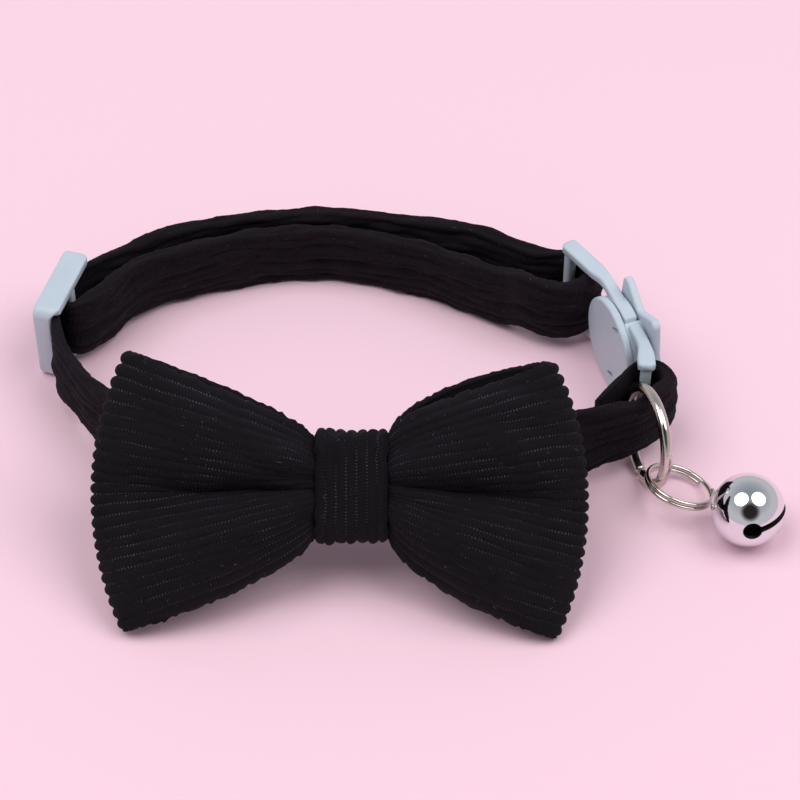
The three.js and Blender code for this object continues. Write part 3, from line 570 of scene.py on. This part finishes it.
def notched(name, outline, deep, low):
    """A plate of the socket, or its web, with the two slots carved into it from the neck's side,
    to 2.6 mm behind the plate's face."""
    inner = -CORE_THICK / 2 - PLATE_THICK
    plate = upright(softened(outline, deep, 0.1 if low else 0.4), inner + low)
    body = mesh_object(name, buckle_part([plate]))
    for k, (along, up, turn) in enumerate(SLOTS):
        slot = softened(bar_outline(SLOT_LENGTH, SLOT_WIDTH, 0.3), SLOT_TOOL, 0.05)
        slot = turned(slot, about_z(turn), [along * PLATE_RADIUS, up * PLATE_RADIUS, 0])
        tool = buckle_part([upright(slot, inner - SLOT_OUT)])
        carve(body, mesh_object(f"{name}_tool_{k}", tool))
    return body


def tongue_parts():
    thick = CORE_THICK - 2 * GAP
    core = arc(PLATE_RADIUS - 0.2, 74, 286, 70)
    return buckle_part([
        upright(softened(core, thick, 0.3), -thick / 2),
        *bar_loop(FAR_BEND, FAR_REACH - BEND_AT, -1),
    ])


def slider_parts():
    """A closed frame swept round a rounded rectangle in (along, up), deep along the strap's edges
    and less deep across its ends, and the bar across its middle on the neck's side."""
    height = STRAP_HEIGHT + 2 * GAP + 2 * SLIDER_RAIL
    half_long, half_high, corner = SLIDER_LENGTH / 2, height / 2, SLIDER_CORNER
    rows = []
    for k, (x, z) in enumerate([(1, 1), (-1, 1), (-1, -1), (1, -1)]):
        stretch = SLIDER_STRETCH * (x > 0)
        centre = np.array([x * (half_long - corner) + stretch, z * (half_high - corner)])
        rows.append(arc(1, 90 * k, 90 * k + 90, 9))
        rows[-1] = np.concatenate([rows[-1], centre + 0 * rows[-1]], 1)
    away, centre = np.concatenate(rows)[:, :2], np.concatenate(rows)[:, 2:]
    outer = centre + away * corner
    # the frame is as thick as its rails above and below, and as its bars at the ends
    thick = SLIDER_BAR + (SLIDER_RAIL - SLIDER_BAR) * away[:, 1] ** 2
    low = -SLIDER_DEPTH / 2 + SLIDER_END_CUT * away[:, 0] ** 2
    turn = np.linspace(0, 2 * np.pi, 32, endpoint=False)
    in_share = 0.5 - 0.5 * np.sign(np.cos(turn)) * np.abs(np.cos(turn)) ** FRAME_POWER
    out_share = 0.5 + 0.5 * np.sign(np.sin(turn)) * np.abs(np.sin(turn)) ** FRAME_POWER
    flat = outer[:, None] - away[:, None] * (in_share[None, :] * thick[:, None])[..., None]
    out = low[:, None] + (SLIDER_DEPTH / 2 - low[:, None]) * out_share[None, :]
    ring = np.stack([flat[..., 0], out, flat[..., 1] + half_high], -1)
    section = bar_outline(SLIDER_BAR, CENTRE_BAR_DEPTH, 0.45)
    bar = softened(section, height - SLIDER_RAIL, 0.2)
    bar = bar + [0, (CENTRE_BAR_DEPTH + INSET - SLIDER_DEPTH) / 2, SLIDER_RAIL / 2]
    return [grid_part(placed(ring, SLIDER_AT, SLIDER_TURN, 0), loop_u=True, loop_v=True),
            grid_part(placed(bar, SLIDER_AT, SLIDER_TURN, 0), loop_v=True, caps=True)]


# Rings and bell


def wire(line, radius, sides=20):
    """Round wire along a line, a little thinner at its two ends: circles across it, each turned
    so that its first axis points away from the line's middle."""
    ahead = np.gradient(line, axis=0)
    ahead = ahead / np.linalg.norm(ahead, axis=1, keepdims=True)
    outward = line - line.mean(0)
    outward = outward - (outward * ahead).sum(1, keepdims=True) * ahead
    outward = outward / np.linalg.norm(outward, axis=1, keepdims=True)
    third = np.cross(ahead, outward)
    angle = 2 * np.pi * np.arange(sides) / sides
    size = np.full(len(line), float(radius))
    size[[0, -1]] *= 0.8
    return line[:, None] + size[:, None, None] * (
        np.cos(angle)[None, :, None] * outward[:, None]
        + np.sin(angle)[None, :, None] * third[:, None])


def turns(radius, low, high, rise, steps):
    """A circle or helix about Z between two angles, its middle at height 0."""
    share = np.linspace(0, 1, steps)
    angle = (low + (high - low) * share) * DEGREE
    return np.stack([radius * np.cos(angle), radius * np.sin(angle), rise * (share - 0.5)], -1)


RING_CENTRE = np.array([*plan(0.95, -0.5), RING_RADIUS + RING_WIRE / 2 + 0.1])
RING_FACING = facing([-0.95, -0.29, 0.1])
SPLIT_NORMAL = unit([0.31, 0.26, 0.91])
SPLIT_CENTRE = np.array([RING_CENTRE[0] + 5.2, RING_CENTRE[1] - 6.5, 3.9])


def large_ring_part():
    line = turns(RING_RADIUS, 205, 205 + 360 - RING_CUT, 0, 160)
    ring = turned(wire(line, RING_WIRE / 2), RING_FACING, RING_CENTRE)
    return grid_part(ring, loop_v=True, caps=True)


def split_ring_part():
    line = turns(SPLIT_RADIUS, 40, 40 + 360 * SPLIT_TURNS, SPLIT_PITCH * SPLIT_TURNS, 300)
    ring = turned(wire(line, SPLIT_WIRE / 2, 14), facing(SPLIT_NORMAL), SPLIT_CENTRE)
    return grid_part(ring, loop_v=True, caps=True)


def square_to(vector, axis):
    vector = np.asarray(vector, float)
    return unit(vector - (vector @ axis) * axis)


LINK = SPLIT_CENTRE + SPLIT_RADIUS * square_to([0.66, -0.75, 0], SPLIT_NORMAL)
LINK_REACH = BELL_RADIUS + SHANK_RADIUS - SHANK_WIRE * 0.3
POLE_RISE = (BELL_RADIUS - LINK[2]) / LINK_REACH
POLE_FLAT = math.sqrt(1 - POLE_RISE ** 2)
POLE_TURN = 20 * DEGREE  # of the bell's axis in plan, from X towards the camera
BELL_POLE = np.array([POLE_FLAT * math.cos(POLE_TURN), -POLE_FLAT * math.sin(POLE_TURN),
                      POLE_RISE])
BELL_CENTRE = LINK + BELL_POLE * LINK_REACH
BELL_ACROSS = square_to([-0.1, -0.97, 0.21], BELL_POLE)
BELL_AXES = np.stack([BELL_ACROSS, np.cross(BELL_POLE, BELL_ACROSS), BELL_POLE], 1)


def ball(radius, sides, steps):
    """Sphere about Z. Its rows end 0.6 degrees from the poles, where small caps close it."""
    rise = np.linspace(-89.4, 89.4, steps)[:, None] * DEGREE
    angle = 2 * np.pi * np.arange(sides)[None, :] / sides
    return radius * np.stack([np.cos(rise) * np.cos(angle), np.cos(rise) * np.sin(angle),
                              np.sin(rise) + 0 * angle], -1)


def bell_body():
    """Hollow ball with a slit that ends in two round holes, all carved out of a sphere. The
    bell's loop isn't drawn."""
    def in_place(grid):
        return grid_part(turned(grid, BELL_AXES, BELL_CENTRE), loop_v=True, caps=True)
    body = mesh_object("bell_body", [in_place(ball(BELL_RADIUS, 160, 100))])
    length = 2 * BELL_RADIUS * math.sin(SLIT_REACH)
    slit = softened(bar_outline(length, SLIT_WIDTH, 0.2), BELL_RADIUS, 0.05)
    slit = slit + [0, 0, BELL_RADIUS * math.cos(SLIT_REACH)]
    holes = []
    for side in (-1, 1):
        drill = softened(arc(HOLE_RADIUS, 0, 350, 36), 5, 0.05) + [0, 0, 3]
        c, s = math.cos(side * SLIT_REACH), math.sin(side * SLIT_REACH)
        holes.append(turned(drill, [[c, 0, s], [0, 1, 0], [-s, 0, c]], [0, 0, 0]))
    for k, grid in enumerate([ball(BELL_RADIUS - BELL_WALL, 96, 60), slit, *holes]):
        carve(body, mesh_object(f"bell_tool_{k}", [in_place(grid)]))
    return body


SHARP_ANGLE = 35 * DEGREE


def carve(body, tool):
    """Takes the tool away from the body's mesh, keeps its edges sharp, and removes the tool."""
    step = body.modifiers.new("carve", "BOOLEAN")
    step.operation, step.solver, step.object = "DIFFERENCE", "EXACT", tool
    seen = bpy.context.evaluated_depsgraph_get()
    mesh = bpy.data.meshes.new_from_object(body.evaluated_get(seen))
    body.modifiers.clear()
    mesh.set_sharp_from_angle(angle=SHARP_ANGLE)
    body.data = mesh
    bpy.data.objects.remove(tool)


# Materials


def linear(code):
    """An sRGB hex value as linear red, green, blue and alpha."""
    parts = [int(code[k:k + 2], 16) / 255 for k in (1, 3, 5)]
    return (*(c / 12.92 if c <= 0.04045 else ((c + 0.055) / 1.055) ** 2.4 for c in parts), 1.0)


def add(tree, kind, links=None, **settings):
    """A node with its settings, and its sockets given a value or a link."""
    made = tree.nodes.new("ShaderNode" + kind)
    for key, value in settings.items():
        setattr(made, key, value)
    for socket, value in (links or {}).items():
        if isinstance(value, bpy.types.NodeSocket):
            tree.links.new(value, made.inputs[socket])
        else:
            made.inputs[socket].default_value = value
    return made


def fresh(name):
    made = bpy.data.materials.new(name)
    made.use_nodes = True
    made.node_tree.nodes.clear()
    return made, made.node_tree


def shade(tree, colour, roughness, bump=None, **values):
    """The shader, with fixed numbers on its own sockets."""
    links = {"Base Color": colour, "Roughness": roughness}
    if bump is not None:
        links["Normal"] = bump
    links.update({key.replace("_", " "): value for key, value in values.items()})
    shader = add(tree, "BsdfPrincipled", links)
    add(tree, "OutputMaterial", {"Surface": shader.outputs[0]})


STITCH_EVERY = 0.54  # mm along a groove
GROOVE_WIDE = 0.12  # as a share of a wale, from the groove's middle
LINT = "#5C6078"


def corduroy(name, body, groove, thread, seed):
    """Cotton corduroy, cut in wide wales: the pile on each wale is nearly black and takes a faint
    light at grazing angles, and the ground weave shows between wales as rows of pale stitches.
    The UV map holds mm along a wale, and wales counted across it."""
    made, tree = fresh(name)
    uv = add(tree, "UVMap", uv_map="UVMap")
    split = add(tree, "SeparateXYZ", {0: uv.outputs[0]})
    along, wale = split.outputs[0], split.outputs[1]
    place = add(tree, "TexCoord").outputs["Object"]
    uneven = add(tree, "TexNoise", {"Vector": place, "Scale": 160.0, "Detail": 2.0})
    middle = add(tree, "Math", {0: wale, 1: 0.5}, operation="PINGPONG")
    edge = add(tree, "MapRange", {0: middle.outputs[0], 1: GROOVE_WIDE, 2: 0.03, 3: 0.0, 4: 1.0},
               interpolation_type="SMOOTHSTEP")
    # stitches about 0.3 mm long, shifted from one groove to the next
    next_wale = add(tree, "Math", {0: wale, 1: 0.5}, operation="ADD")
    row = add(tree, "Math", {0: next_wale.outputs[0]}, operation="FLOOR")
    shift = add(tree, "Math", {0: row.outputs[0], 1: 0.37, 2: 0.0}, operation="MULTIPLY_ADD")
    pace = add(tree, "Math", {0: along, 1: 1 / STITCH_EVERY, 2: shift.outputs[0]},
               operation="MULTIPLY_ADD")
    beat = add(tree, "Math", {0: pace.outputs[0]}, operation="FRACT")
    hump = add(tree, "Math", {0: beat.outputs[0], 1: 0.5}, operation="PINGPONG")
    stitch = add(tree, "MapRange", {0: hump.outputs[0], 1: 0.24, 2: 0.4, 3: 0.0, 4: 1.0})
    # patches about 6 mm across where the stitches show more or less
    worn = add(tree, "MapRange", {0: uneven.outputs[0], 1: 0.42, 2: 0.66, 3: 0.08, 4: 0.9})
    shown = add(tree, "Math", {0: edge.outputs[0], 1: stitch.outputs[0]}, operation="MULTIPLY")
    seen = add(tree, "Math", {0: shown.outputs[0], 1: worn.outputs[0]}, operation="MULTIPLY")
    # pile: tufts about 0.25 mm wide, longer along the wale
    tuft_at = add(tree, "CombineXYZ", {0: along, 1: wale, 2: float(seed)})
    tuft_size = add(tree, "Mapping", {0: tuft_at.outputs[0], "Scale": (2.6, 7.0, 1.0)})
    tufts = add(tree, "TexNoise", {"Vector": tuft_size.outputs[0], "Scale": 1.0, "Detail": 3.0,
                                   "Roughness": 0.65})
    fleck = add(tree, "MapRange", {0: tufts.outputs[0], 1: 0.58, 2: 0.78, 3: 0.0, 4: 1.0})
    # no two stitches catch the light alike
    uneven_stitch = add(tree, "MapRange", {0: tufts.outputs[0], 1: 0.38, 2: 0.62, 3: 0.1, 4: 1.0})
    seen = add(tree, "Math", {0: seen.outputs[0], 1: uneven_stitch.outputs[0]},
               operation="MULTIPLY")
    pile = add(tree, "Mix", {0: fleck.outputs[0], "A": linear(body), "B": linear(groove)},
               data_type="RGBA")
    base = add(tree, "Mix", {0: seen.outputs[0], "A": pile.outputs["Result"], "B": linear(thread)},
               data_type="RGBA")
    # stray fibres of lint, under 0.1 mm wide and a few mm long
    lint_at = add(tree, "Mapping", {0: uv.outputs[0], "Scale": (0.35, 1.3, 1.0),
                                    "Rotation": (0, 0, 0.5)})
    lint_field = add(tree, "TexVoronoi", {"Vector": lint_at.outputs[0], "Scale": 1.0},
                     feature="DISTANCE_TO_EDGE")
    lint_rare = add(tree, "TexNoise", {"Vector": lint_at.outputs[0], "Scale": 2.1})
    thin = add(tree, "Math", {0: lint_field.outputs[0], 1: 0.012}, operation="LESS_THAN")
    rare = add(tree, "Math", {0: lint_rare.outputs[0], 1: 0.66}, operation="GREATER_THAN")
    lint = add(tree, "Math", {0: thin.outputs[0], 1: rare.outputs[0]}, operation="MULTIPLY")
    faint = add(tree, "Math", {0: lint.outputs[0], 1: 0.5}, operation="MULTIPLY")
    with_lint = add(tree, "Mix", {0: faint.outputs[0], "A": base.outputs["Result"],
                                  "B": linear(LINT)}, data_type="RGBA")
    height = add(tree, "Math", {0: tufts.outputs[0], 1: stitch.outputs[0]}, operation="ADD")
    bump = add(tree, "Bump", {"Height": height.outputs[0], "Strength": 0.55, "Distance": 0.00018})
    shade(tree, with_lint.outputs["Result"], 0.92, bump.outputs[0], Sheen_Weight=0.04,
          Sheen_Roughness=0.5, Sheen_Tint=linear("#8A86B4"), Specular_IOR_Level=0.2)
    return made


def moulded_plastic():
    """Moulded acetal: a pale grey-blue satin skin with a faint cloudiness, and fine texture from
    the mould that breaks up its highlights."""
    made, tree = fresh("moulded_acetal")
    place = add(tree, "TexCoord").outputs["Object"]
    cloud = add(tree, "TexNoise", {"Vector": place, "Scale": 140.0, "Detail": 3.0})
    grain = add(tree, "TexNoise", {"Vector": place, "Scale": 2600.0, "Detail": 2.0})
    colour = add(tree, "Mix", {0: cloud.outputs[0], "A": linear("#B2BFCB"),
                               "B": linear("#CAD4DE")}, data_type="RGBA")
    rough = add(tree, "MapRange", {0: cloud.outputs[0], 1: 0.3, 2: 0.7, 3: 0.36, 4: 0.5})
    bump = add(tree, "Bump", {"Height": grain.outputs[0], "Strength": 0.12, "Distance": 0.00005})
    shade(tree, colour.outputs["Result"], rough.outputs[0], bump.outputs[0], IOR=1.48,
          Subsurface_Weight=0.08, Subsurface_Radius=(0.6, 0.8, 1.0), Subsurface_Scale=0.001)
    return made


def plated(name, colour, low, high, scratch):
    """Plated steel or brass wire and sheet: nearly a mirror, with hairline polishing marks about
    0.1 mm apart and soft patches where it is duller."""
    made, tree = fresh(name)
    place = add(tree, "TexCoord").outputs["Object"]
    patch = add(tree, "TexNoise", {"Vector": place, "Scale": 420.0, "Detail": 4.0})
    rough = add(tree, "MapRange", {0: patch.outputs[0], 1: 0.35, 2: 0.7, 3: low, 4: high})
    stretched = add(tree, "Mapping", {0: place, "Scale": (9000.0, 1200.0, 1200.0),
                                      "Rotation": (0.3, 0.2, 0.9)})
    marks = add(tree, "TexNoise", {"Vector": stretched.outputs[0], "Scale": 1.0, "Detail": 1.0})
    bump = add(tree, "Bump", {"Height": marks.outputs[0], "Strength": scratch, "Distance": 0.00001})
    shade(tree, linear(colour), rough.outputs[0], bump.outputs[0], Metallic=1.0)
    return made


STRAP_CLOTH = corduroy("corduroy_tube", "#150D13", "#221A25", "#2E2936", 3)
BOW_CLOTH = corduroy("corduroy_bow", "#0B070C", "#1A161D", "#5A5A68", 7)
PLASTIC = moulded_plastic()
NICKEL = plated("nickel_plate", "#CFC8C0", 0.12, 0.26, 0.25)
CHROME = plated("chrome_plate", "#E6E8EC", 0.04, 0.1, 0.08)
BELL_INSIDE = plated("bell_inside", "#4A4642", 0.5, 0.7, 0.1)

# Pieces


def dress(made, material, node):
    """Gives a piece its material, hides the solid that it stands for, and lets it ride."""
    made.data.materials.clear()
    made.data.materials.append(material)
    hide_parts(node)
    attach(made, "root")
    return made


strap = dress(mesh_object("strap_corduroy", [strap_part()]), STRAP_CLOTH, "strap")
bow = dress(mesh_object("bow_corduroy", [bow_part()]), BOW_CLOTH, "bow_loop")
band = dress(mesh_object("band_corduroy", [band_part()]), BOW_CLOTH, "bow_knot")
dress(mesh_object("slider_frame", slider_parts()), PLASTIC, "slider")
dress(mesh_object("socket_moulding", socket_parts()), PLASTIC, "buckle_socket")
WEB_DEEP = CORE_THICK + PLATE_THICK / 2
for name, outline, deep, low in [
        ("socket_plate", arc(PLATE_RADIUS, 0, 357, 120), PLATE_THICK, 0),
        ("socket_web", arc(PLATE_RADIUS - 0.3, -70, 70, 40), WEB_DEEP, PLATE_THICK)]:
    dress(notched(name, outline, deep, low), PLASTIC, "buckle_socket")
dress(mesh_object("tongue_moulding", tongue_parts()), PLASTIC, "buckle_tongue")
dress(mesh_object("large_ring_wire", [large_ring_part()]), NICKEL, "large_ring")
dress(mesh_object("split_ring_wire", [split_ring_part()]), NICKEL, "split_ring")
bell = dress(bell_body(), CHROME, "bell")
# the plating doesn't reach the inside: faces nearer the middle than the outer skin
bell.data.materials.append(BELL_INSIDE)
BELL_SKIN = 0.06
bell_middle = (BELL_CENTRE + LAYOUT) * MM
for face in bell.data.polygons:
    away = np.linalg.norm(np.array(face.center) - bell_middle)
    face.material_index = int(away < (BELL_RADIUS - BELL_SKIN) * MM)
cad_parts["bell_pea"].data.materials.clear()
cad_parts["bell_pea"].data.materials.append(NICKEL)

# Floor, light and camera

FLOOR_HALF = 2.0
floor_mesh = bpy.data.meshes.new("floor")
floor_corners = [(x * FLOOR_HALF, y * FLOOR_HALF, 0)
                 for x, y in ((-1, -1), (1, -1), (1, 1), (-1, 1))]
floor_mesh.from_pydata(floor_corners, [], [(0, 1, 2, 3)])
floor = bpy.data.objects.new("floor", floor_mesh)
bpy.context.scene.collection.objects.link(floor)
floor_paint, floor_tree = fresh("pale_card")
shade(floor_tree, linear("#F6D0DE"), 0.9)
floor.data.materials.append(floor_paint)


def softbox(name, place, aim, size, power):
    """Round white lamp, turned so that its light falls on a point; in metres and watts."""
    lamp = bpy.data.lights.new(name, "AREA")
    lamp.shape, lamp.size, lamp.energy = "DISK", size, power
    made = bpy.data.objects.new(name, lamp)
    made.location = place
    away = np.array(place) - aim
    lean = math.acos(away[2] / np.linalg.norm(away))
    made.rotation_euler = (lean, 0, math.atan2(away[1], away[0]) + math.pi / 2)
    bpy.context.scene.collection.objects.link(made)


LAMP_SIZE, LAMP_POWER = 0.75, 4.6
softbox("light_left", (-0.38, -0.08, 0.9), (0, 0, 0), LAMP_SIZE, LAMP_POWER)
softbox("light_right", (0.48, -0.08, 0.9), (0, 0, 0), LAMP_SIZE, LAMP_POWER)

world = bpy.data.worlds.new("studio")
world.use_nodes = True
world.node_tree.nodes.clear()
room = world.node_tree
way = add(room, "TexCoord").outputs["Generated"]
# the ceiling is greyer than the walls, and the side that the picture is taken from is dark
height = add(room, "SeparateXYZ", {0: way}).outputs[2]
overhead = add(room, "MapRange", {0: height, 1: 0.35, 2: 0.95, 3: 0.0, 4: 1.0})
walls = add(room, "Mix", {0: overhead.outputs[0], "A": linear("#F6F3F8"),
                          "B": linear("#B4BCC6")}, data_type="RGBA")
toward = add(room, "VectorMath", {0: way, 1: (0.0, -0.73, 0.68)}, operation="DOT_PRODUCT")
dark = add(room, "MapRange", {0: toward.outputs["Value"], 1: 0.82, 2: 0.955, 3: 0.0, 4: 1.0},
           interpolation_type="SMOOTHSTEP")
seen_room = add(room, "Mix", {0: dark.outputs[0], "A": walls.outputs["Result"],
                              "B": linear("#3A3230")}, data_type="RGBA")
sky = add(room, "Background", {"Color": seen_room.outputs["Result"], "Strength": 0.62})
add(room, "OutputWorld", {"Surface": sky.outputs[0]})
bpy.context.scene.world = world

CAMERA_AT = np.array([0.0, -313.8, 348.5])
CAMERA_TILT = 42 * DEGREE
LENS, SENSOR = 124.4, 36.0
lens = bpy.data.cameras.new("camera")
lens.lens, lens.sensor_width = LENS, SENSOR
camera = bpy.data.objects.new("camera", lens)
camera.location = (CAMERA_AT + LAYOUT) * MM
camera.rotation_euler = (CAMERA_TILT, 0, 0)
bpy.context.scene.collection.objects.link(camera)
bpy.context.scene.camera = camera
bpy.context.scene.view_settings.view_transform = "Standard"
